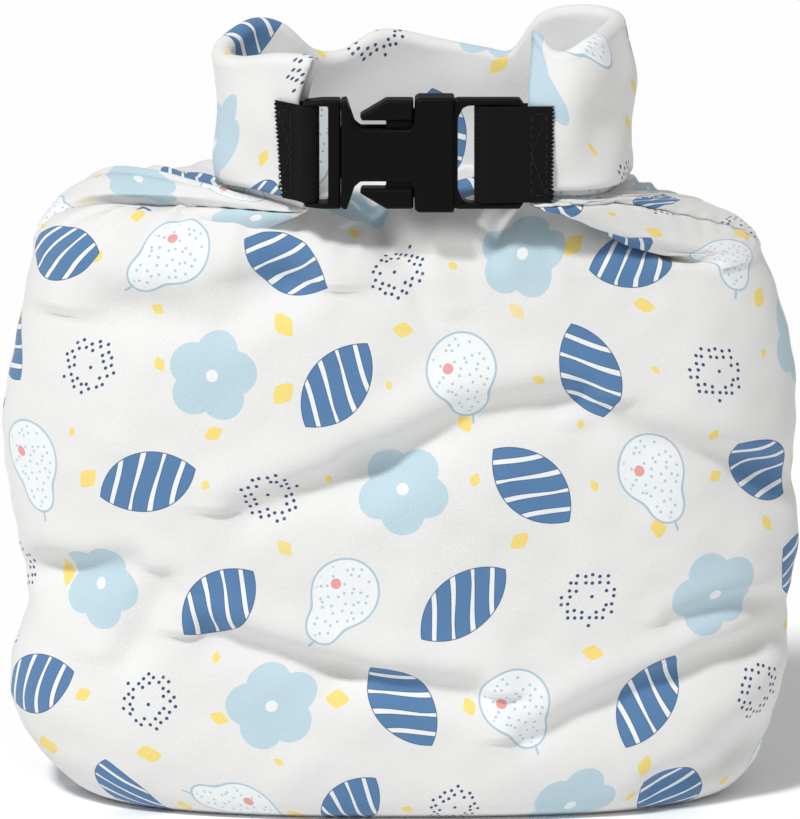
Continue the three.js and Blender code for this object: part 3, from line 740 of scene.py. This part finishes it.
# The print: a staggered lattice of motifs, drawn with distances in millimetres. The colours are
# linear.
CELL = 50.0
ROW = 46.0
MOTIF_JITTER = 3.6
BIT_JITTER = 9.0
DENIM = (0.088, 0.198, 0.375)
DARK = (0.03, 0.07, 0.17)
PALE_BLUE = (0.47, 0.61, 0.68)
LINE_BLUE = (0.40, 0.53, 0.62)
PAPER = (0.80, 0.82, 0.83)
CORAL = (0.74, 0.34, 0.33)
YELLOW = (0.84, 0.66, 0.2)
WHITE = (0.755, 0.755, 0.745)
SHADED_WHITE = (0.725, 0.725, 0.715)


def lattice(tree, px, py, shift_x, shift_y, jitter, salt):
    """One motif place per cell: its column, row, turned local coordinates and a random number."""
    y = py + shift_y
    row = (y / ROW).floor()
    x = px + shift_x + row.wrap(2.0) * (CELL / 2)
    column = (x / CELL).floor()
    local_x = x - (column + 0.5) * CELL
    local_y = y - (row + 0.5) * ROW
    node = tree.nodes.new("ShaderNodeTexWhiteNoise")
    node.noise_dimensions = "2D"
    tree.links.new(vector_of(tree, column + salt, row), node.inputs["Vector"])
    chance = Num(tree, node.outputs["Value"])
    turn, move_x, move_y = parts_of(tree, node.outputs["Color"], "ShaderNodeSeparateColor")
    local_x = local_x + (move_x - 0.5) * jitter
    local_y = local_y + (move_y - 0.5) * jitter
    angle = turn * (2 * math.pi)
    cos = angle.cos()
    sin = angle.sin()
    return column, row, local_x * cos + local_y * sin, local_y * cos - local_x * sin, chance


def leaf_print(tree, colour, here, x, y):
    """A denim leaf with slanting white stripes and a dark outline."""
    reach = length(abs(x) + 12.8, y) - 24.6
    slant = x * 0.5 + y * 0.86 + (x * 0.14).sin() * 1.6
    stripe = abs((slant / 8.2).wrap(1.0) - 0.5) * 8.2
    band = stripe - (0.55 + abs((x * 0.17 + y * 0.09).sin()) * 0.5)
    inside = here * reach.below(0.0)
    dark = inside * (-reach).minimum(band).below(0.32)
    colour = mixed(tree, inside, colour, DENIM)
    colour = mixed(tree, dark * 0.75, colour, DARK)
    return mixed(tree, inside * band.below(0.0) * reach.below(-0.35), colour, PAPER)


def flower_print(tree, colour, here, x, y):
    """A pale blue blossom of five round petals with a white middle."""
    petal = 2 * math.pi / 5
    away = length(x, y)
    turn = (y.math("ARCTAN2", y, x) + petal / 2).wrap(petal) - petal / 2
    reach = length(away * turn.cos() - 9.6, away * turn.sin()) - 8.6
    inside = here * reach.minimum(away - 9.0).below(0.0)
    colour = mixed(tree, inside, colour, PALE_BLUE)
    return mixed(tree, here * away.below(2.4), colour, PAPER)


def pear_print(tree, colour, here, x, y):
    """An outlined pear with a stem, grey-blue speckles and a coral spot."""
    belly = length(x, y + 5.6) - 13.6
    head = length(x - 1.2, y - 10.0) - 7.0
    reach = belly.math("SMOOTH_MIN", belly, head, 9.0)
    stem = (abs(x - 1.6 - (y - 17.0) * 0.2) - 0.5).maximum(abs(y - 18.6) - 2.2)
    inside = here * reach.below(0.0)
    colour = mixed(tree, inside, colour, PAPER)
    pitch = 3.6
    speckle = tree.nodes.new("ShaderNodeTexVoronoi")
    speckle.voronoi_dimensions = "2D"
    speckle.inputs["Scale"].default_value = 1 / pitch
    speckle.inputs["Randomness"].default_value = 0.75
    tree.links.new(vector_of(tree, x, y), speckle.inputs["Vector"])
    dot = Num(tree, speckle.outputs["Distance"]) * pitch
    colour = mixed(tree, here * reach.below(-1.8) * dot.below(0.55, 0.2), colour, LINE_BLUE)
    colour = mixed(tree, here * abs(reach).minimum(stem + 0.42).below(0.42), colour, LINE_BLUE)
    spot = length(x - 5.0, y + 7.0) - 2.1
    return mixed(tree, here * spot.below(0.0), colour, CORAL)


def dots_print(tree, colour, here, x, y):
    """A ring of small navy dots round a dotted middle."""
    pitch = 2.9
    dots = tree.nodes.new("ShaderNodeTexVoronoi")
    dots.voronoi_dimensions = "2D"
    dots.inputs["Scale"].default_value = 1 / pitch
    dots.inputs["Randomness"].default_value = 0.35
    tree.links.new(vector_of(tree, x, y), dots.inputs["Vector"])
    away = Num(tree, dots.outputs["Distance"]) * pitch
    centre_x, centre_y, _ = parts_of(tree, dots.outputs["Position"])
    from_middle = length(centre_x, centre_y)
    reach = (abs(from_middle - 8.6) - 2.6).minimum(from_middle - 2.4)
    return mixed(tree, here * reach.below(0.0, 0.02) * away.below(0.72), colour, DARK)


def bit_print(tree, colour, px, py, shift_x, shift_y, salt):
    """Small yellow diamonds of several sizes between the large motifs."""
    _, _, x, y, chance = lattice(tree, px, py, shift_x, shift_y, BIT_JITTER, salt)
    size = 1.5 + (chance * 7.3).wrap(1.0) * 3.1
    reach = abs(x) * 1.15 + abs(y) * 0.8 - (abs(x) * abs(y)).math("SQRT", abs(x) * abs(y)) * 0.35
    shown = chance.below(0.62, 0.01)
    return mixed(tree, shown * (reach - size).below(0.0), colour, YELLOW)


def cloth_material():
    """White brushed knit with an all-over print."""
    material, tree, shader = new_material("printed_knit", {
        "Sheen Weight": 0.18,
        "Sheen Roughness": 0.45,
        "Specular IOR Level": 0.28,
    })
    uv = tree.nodes.new("ShaderNodeUVMap")
    uv.uv_map = "cloth"
    across, up, _ = parts_of(tree, uv.outputs[0])
    px = across / MM
    py = up / MM
    fade = noise(tree, uv.outputs[0], 28.0)
    colour = mixed(tree, fade, WHITE, SHADED_WHITE)
    colour = bit_print(tree, colour, px, py, CELL / 2, 0.0, 31.0)
    colour = bit_print(tree, colour, px, py, 0.0, ROW / 2, 57.0)
    column, row, x, y, _ = lattice(tree, px, py, 0.0, 0.0, MOTIF_JITTER, 0.0)
    kind = (column + row * 2).wrap(5.0)
    colour = leaf_print(tree, colour, kind.equals(0.0) + kind.equals(3.0), x, y)
    colour = dots_print(tree, colour, kind.equals(1.0), x, y)
    colour = flower_print(tree, colour, kind.equals(2.0), x, y)
    colour = pear_print(tree, colour, kind.equals(4.0), x, y)
    tree.links.new(colour, shader.inputs["Base Color"])
    knit = (px * (2 * math.pi / 0.95)).sin() * (py * (2 * math.pi / 1.2)).sin()
    fuzz = noise(tree, uv.outputs[0], 1400.0, 4.0)
    brushed = noise(tree, uv.outputs[0], 420.0, 5.0)
    add_bump(tree, shader, knit * 0.2 + fuzz * 0.5 + brushed * 0.9, 0.55, 0.0003)
    tree.links.new((fuzz * 0.16 + 0.7).socket, shader.inputs["Roughness"])
    return material


# The webbing's herringbone ribs, in millimetres.
RIB = 1.5
RIB_ZIGZAG = 7.6
RIB_SLOPE = 0.9


def webbing_material():
    """Black ribbed webbing."""
    material, tree, shader = new_material("webbing_black", {
        "Roughness": 0.8,
        "Specular IOR Level": 0.12,
        "Sheen Weight": 0.015,
        "Sheen Roughness": 0.5,
    })
    uv = tree.nodes.new("ShaderNodeUVMap")
    uv.uv_map = "strap"
    along, across, _ = parts_of(tree, uv.outputs[0])
    a = along / MM
    b = across / MM
    slope = a * RIB_SLOPE + abs(b.wrap(RIB_ZIGZAG) - RIB_ZIGZAG / 2)
    twill = (slope * (2 * math.pi / RIB)).sin()
    yarn = (b * (2 * math.pi / 0.62)).sin()
    fuzz = noise(tree, uv.outputs[0], 900.0)
    dark, light = (0.0024, 0.0024, 0.0028), (0.0085, 0.0085, 0.0095)
    tone = mixed(tree, twill * 0.3 + fuzz * 0.7, dark, light)
    tree.links.new(tone, shader.inputs["Base Color"])
    add_bump(tree, shader, twill * 0.5 + yarn * 0.35 + fuzz * 0.5, 0.7, 0.0002)
    return material


def yarn_material(name, dark, light):
    """Twisted thread: two tones and a fine fuzz."""
    material, tree, shader = new_material(name, {"Roughness": 0.7, "Specular IOR Level": 0.25})
    place = tree.nodes.new("ShaderNodeTexCoord").outputs["Object"]
    fuzz = noise(tree, place, 1500.0)
    tree.links.new(mixed(tree, fuzz, dark, light), shader.inputs["Base Color"])
    add_bump(tree, shader, fuzz, 0.5, 0.0002)
    return material


def plastic_material():
    """Black moulded nylon: satin, with a fine grain and paler worn edges."""
    material, tree, shader = new_material("moulded_black", {"Specular IOR Level": 0.09})
    place = tree.nodes.new("ShaderNodeTexCoord").outputs["Object"]
    grain = noise(tree, place, 2600.0, 2.0)
    cloud = noise(tree, place, 120.0, 4.0)
    edge = Num(tree, tree.nodes.new("ShaderNodeNewGeometry").outputs["Pointiness"])
    worn = edge.math("MULTIPLY_ADD", edge, 6.0, -3.1).maximum(0.0).minimum(1.0)
    tone = mixed(tree, worn, (0.0022, 0.0022, 0.0024), (0.0095, 0.0095, 0.01))
    tree.links.new(tone, shader.inputs["Base Color"])
    tree.links.new((0.36 + cloud * 0.14 + grain * 0.06).socket, shader.inputs["Roughness"])
    add_bump(tree, shader, grain * 0.6 + cloud * 0.6, 0.25, 0.00008)
    return material


VOXEL = 0.42
MOULD_SWELL = 0.16


def moulded(name, node, material):
    """A rounded, moulded copy of one of the buckle's solids."""
    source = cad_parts[node]
    piece = bpy.data.objects.new(name, source.data.copy())
    bpy.context.scene.collection.objects.link(piece)
    piece.data.materials.clear()
    piece.data.materials.append(material)
    remesh = piece.modifiers.new("remesh", "REMESH")
    remesh.mode = "VOXEL"
    remesh.voxel_size = VOXEL * MM
    relax = piece.modifiers.new("relax", "SMOOTH")
    relax.factor = 0.5
    relax.iterations = 4
    swell = piece.modifiers.new("swell", "DISPLACE")
    swell.strength = MOULD_SWELL * MM
    swell.mid_level = 0
    apply_modifiers(piece)
    piece.data.polygons.foreach_set("use_smooth", [True] * len(piece.data.polygons))
    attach(piece, "root")
    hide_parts(node)
    return piece


TAB_THICKNESS = 1.5
TAB_STEP = 0.42
TAB_ROWS = 92
EDGE_ROUND = 0.8
RIB_HEIGHT = 0.06
TOOTH = 1.6
TOOTH_DEPTH = 1.6


def tab_path(end, heading, outward, bar):
    """The webbing's middle line seen from above: outer face, round the bar, and inner face."""
    face = SHEET_PAIR / 2 + PIECE_GAP + WEBBING_THICKNESS / 2
    wrap = BAR_RADIUS + PIECE_GAP + WEBBING_THICKNESS / 2
    mid = end + FOLD_SPACING / 2 * outward
    stations = (-TAB_OVERLAP, -TAB_OVERLAP / 2, PIECE_GAP)
    points = [mid + d * heading + face * outward for d in stations]
    for angle in np.linspace(0, math.pi, 9):
        points.append(bar + math.cos(angle) * wrap * outward + math.sin(angle) * wrap * heading)
    points += [mid + d * heading - face * outward for d in stations[::-1]]
    line = through_points(points, 40)
    run = lengths_along(line)
    count = int(run[-1] / TAB_STEP)
    at = np.linspace(0, run[-1], count)
    return np.column_stack([np.interp(at, run, line[:, k]) for k in (0, 1)]), at


def webbing_tab(name, node, end, heading, outward, bar, slant, material):
    """A ribbed strap end folded round a bar of the buckle. Its cut edge leans by slant."""
    path, run = tab_path(end, heading, outward, bar)
    tangent = np.gradient(path, axis=0)
    tangent /= np.linalg.norm(tangent, axis=1, keepdims=True)
    across = np.column_stack([tangent[:, 1], -tangent[:, 0]])
    half = WEBBING_WIDTH / 2
    heights = np.linspace(-half, half, TAB_ROWS)
    ring = [(h, 1) for h in heights] + [(h, -1) for h in heights[::-1]]
    rings = []
    for i, place in enumerate(path):
        points = []
        for h, face in ring:
            edge = 1 - max(abs(h) - (half - EDGE_ROUND), 0) / EDGE_ROUND
            thick = TAB_THICKNESS / 2 * math.sqrt(max(1 - (1 - edge) ** 2, 0.12))
            slope = run[i] * RIB_SLOPE + abs(h % RIB_ZIGZAG - RIB_ZIGZAG / 2)
            rib = RIB_HEIGHT * math.sin(2 * math.pi * slope / RIB)
            cut = abs((h / TOOTH) % 1 - 0.5) * 2 * TOOTH_DEPTH
            lean = slant * (0.5 - h / WEBBING_WIDTH) * max(1 - run[i] / TAB_OVERLAP, 0)
            move = tangent[i] * (lean + (cut if i == len(path) - 1 else -cut if i == 0 else 0))
            xy = place + across[i] * face * (thick + rib) + move
            points.append((xy[0], xy[1], BUCKLE_Z + h))
        rings.append(points)
    count = len(ring)
    points = (np.array(rings).reshape(-1, 3) + np.array(SHIFT)) * MM
    faces = []
    for i in range(len(path) - 1):
        for k in range(count):
            n = (k + 1) % count
            faces.append((i * count + k, i * count + n, (i + 1) * count + n, (i + 1) * count + k))
    last = (len(path) - 1) * count
    for k in range(count // 2 - 1):
        far = count - 1 - k
        faces.append((k, far, far - 1, k + 1)[::-1])
        faces.append((last + k, last + far, last + far - 1, last + k + 1))
    piece = new_object(name, points, faces, material)
    layer = piece.data.uv_layers.new(name="strap")
    along = np.repeat(run, count)
    up = np.tile([h for h, _ in ring], len(path))
    places = np.column_stack([along, up]) * MM
    loops = np.zeros(len(piece.data.loops), int)
    piece.data.loops.foreach_get("vertex_index", loops)
    layer.data.foreach_set("uv", places[loops].ravel())
    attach(piece, "root")
    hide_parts(node)
    return piece


def threads(name, lines, radius, material):
    """Short threads in one piece, each a thin six-sided tube along its line, with closed ends."""
    sides = THREAD_SIDES
    points = []
    faces = []
    for line in lines:
        line = np.array(line, float)
        tangent = np.gradient(line, axis=0)
        tangent /= np.linalg.norm(tangent, axis=1, keepdims=True)
        first = len(points)
        for i, (place, along) in enumerate(zip(line, tangent)):
            across = np.cross(along, (0.31, 0.2, 0.93))
            across /= np.linalg.norm(across)
            other = np.cross(along, across)
            size = radius * (0.45 if i in (0, len(line) - 1) else 1)
            for k in range(sides):
                turn = 2 * math.pi * k / sides
                points.append(place + size * (math.cos(turn) * across + math.sin(turn) * other))
        for i in range(len(line) - 1):
            for k in range(sides):
                a = first + i * sides + k
                b = first + i * sides + (k + 1) % sides
                faces.append((a, a + sides, b + sides, b))
        last = first + (len(line) - 1) * sides
        faces.append(tuple(first + k for k in range(sides)))
        faces.append(tuple(last + k for k in range(sides))[::-1])
    piece = new_object(name, (np.array(points) + np.array(SHIFT)) * MM, faces, material)
    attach(piece, "root")
    return piece


THREAD_SIDES = 6
STITCH_LENGTH = 2.4
STITCH_STEP = 3.3
STITCH_RADIUS = 0.21
# The box of stitches: along the tab from its end, and half its height.
BOX_LEFT = -7.4
BOX_RIGHT = -1.6
BOX_TOP = 16.0
# Stations along one stitch, and how far each stands off the tab's face.
STITCH_SHARES = (-0.5, -0.25, 0, 0.25, 0.5)
STITCH_LIFTS = (-0.12, 0.1, 0.16, 0.1, -0.12)
FRAY_SEED = 5
FRAY_COUNT = 46
FRAY_RADIUS = 0.13
FRAY_ROOT = 0.8
TAB_FACE = SHEET_PAIR / 2 + PIECE_GAP + (WEBBING_THICKNESS + TAB_THICKNESS) / 2


def box_stitches(name, end, heading, outward, material):
    """A box of stitches on the outer face of a tab, with a line across each half."""
    mid = end + FOLD_SPACING / 2 * outward

    def place(along, up, lift):
        xy = mid + along * heading + (TAB_FACE + lift) * outward
        return (xy[0], xy[1], BUCKLE_Z + up)

    left, right, top = BOX_LEFT, BOX_RIGHT, BOX_TOP
    seams = [(left, -top, left, top), (right, -top, right, top), (left, top, right, top),
             (left, -top, right, -top), (left, -top, right, 0), (left, top, right, 0)]
    lines = []
    for a1, z1, a2, z2 in seams:
        run = math.hypot(a2 - a1, z2 - z1)
        count = max(int(run / STITCH_STEP), 1)
        for i in range(count):
            shares = [(i + 0.5) / count + t * STITCH_LENGTH / run for t in STITCH_SHARES]
            lines.append([
                place(lerp(a1, a2, t), lerp(z1, z2, t), lift)
                for t, lift in zip(shares, STITCH_LIFTS)
            ])
    return threads(name, lines, STITCH_RADIUS, material)


def frayed_yarn(name, end, heading, outward, slant, material):
    """Loose white yarn of the cloth's edge, standing out from under the left tab's cut edge."""
    rng = np.random.default_rng(FRAY_SEED)
    mid = end + FOLD_SPACING / 2 * outward
    face = SHEET_PAIR / 2 + PIECE_GAP / 2 + 0.1
    lines = []
    for _ in range(FRAY_COUNT):
        up = rng.uniform(-14, 18)
        edge = slant * (0.5 - up / WEBBING_WIDTH) - TAB_OVERLAP
        reach = rng.uniform(1.2, 3.4)
        sway = rng.uniform(-1.4, 1.4)
        rise = rng.uniform(0.2, 1.5)
        line = []
        for t in (0, 0.25, 0.5, 0.75, 1):
            along = edge + FRAY_ROOT - (reach + FRAY_ROOT) * t
            xy = mid + along * heading + (face + rise * t * t) * outward
            line.append((xy[0], xy[1], BUCKLE_Z + up + sway * t * t))
        lines.append(line)
    return threads(name, lines, FRAY_RADIUS, material)


FLOOR_HALF = 30.0
WORLD_POWER = 0.44
CAMERA_DISTANCE = 7.0
CAMERA_TILT = math.radians(15)
SENSOR = 36
# The photograph's height in pixels, the scale in millimetres per pixel, and the height of its
# middle in metres.
PHOTO_HEIGHT = 819
PHOTO_SCALE = 0.388
PHOTO_MIDDLE = 0.1529
LEFT_SLANT = 3.6
RIGHT_SLANT = 0.4


def add_floor():
    material, tree, shader = new_material("floor_pale", {"Roughness": 0.9})
    place = tree.nodes.new("ShaderNodeTexCoord").outputs["Object"]
    tone = mixed(tree, noise(tree, place, 6.0), (0.96, 0.96, 0.96), (0.95, 0.95, 0.95))
    tree.links.new(tone, shader.inputs["Base Color"])
    half = FLOOR_HALF
    corners = [(-half, -half, 0), (half, -half, 0), (half, half, 0), (-half, half, 0)]
    floor = new_object("floor", corners, [(0, 1, 2, 3)], material)


def add_sun(name, place, softness, power):
    """A soft light from far away, in the direction of place."""
    data = bpy.data.lights.new(name, "SUN")
    data.angle = math.radians(softness)
    data.energy = power
    light = bpy.data.objects.new(name, data)
    light.location = place
    light.rotation_euler = (-Vector(place)).to_track_quat("-Z", "Y").to_euler()
    bpy.context.scene.collection.objects.link(light)


def add_world():
    world = bpy.data.worlds.new("studio")
    world.use_nodes = True
    background = world.node_tree.nodes["Background"]
    background.inputs["Color"].default_value = (1, 1, 1, 1)
    background.inputs["Strength"].default_value = WORLD_POWER
    bpy.context.scene.world = world


def add_camera():
    """The photograph's view: straight on, from a little above."""
    view = PHOTO_HEIGHT * PHOTO_SCALE * MM
    target = Vector((SHIFT.x * MM, SHIFT.y * MM, PHOTO_MIDDLE))
    away = Vector((0, -math.cos(CAMERA_TILT), math.sin(CAMERA_TILT)))
    data = bpy.data.cameras.new("camera")
    data.sensor_width = SENSOR
    data.lens = SENSOR * CAMERA_DISTANCE / view
    camera = bpy.data.objects.new("camera", data)
    camera.location = target + CAMERA_DISTANCE * away
    camera.rotation_euler = (target - camera.location).to_track_quat("-Z", "Y").to_euler()
    bpy.context.scene.collection.objects.link(camera)
    bpy.context.scene.camera = camera


add_camera()
add_world()
add_floor()
bpy.context.scene.view_settings.view_transform = "Standard"
add_sun("key", (-0.62, -0.97, 1.5), 8, 2.42)

cloth = cloth_material()
cloth_panel("front_cloth", "front_panel", -1, cloth)
cloth_panel("back_cloth", "back_panel", 1, cloth)
strap = webbing_material()
webbing_tab("left_tab", "webbing_tab_left", LEFT_END, LEFT_HEADING, LEFT_OUTWARD, PLUG_BAR,
            LEFT_SLANT, strap)
webbing_tab("right_tab", "webbing_tab_right", RIGHT_END, RIGHT_HEADING, RIGHT_OUTWARD, SOCKET_BAR,
            RIGHT_SLANT, strap)
thread = yarn_material("black_thread", (0.004, 0.004, 0.005), (0.03, 0.03, 0.032))
box_stitches("left_stitches", LEFT_END, LEFT_HEADING, LEFT_OUTWARD, thread)
box_stitches("right_stitches", RIGHT_END, RIGHT_HEADING, RIGHT_OUTWARD, thread)
yarn = yarn_material("white_yarn", (0.55, 0.54, 0.51), (0.78, 0.78, 0.76))
frayed_yarn("left_fray", LEFT_END, LEFT_HEADING, LEFT_OUTWARD, LEFT_SLANT, yarn)
plastic = plastic_material()
moulded("plug_moulded", "buckle_plug", plastic)
moulded("socket_moulded", "buckle_socket", plastic)
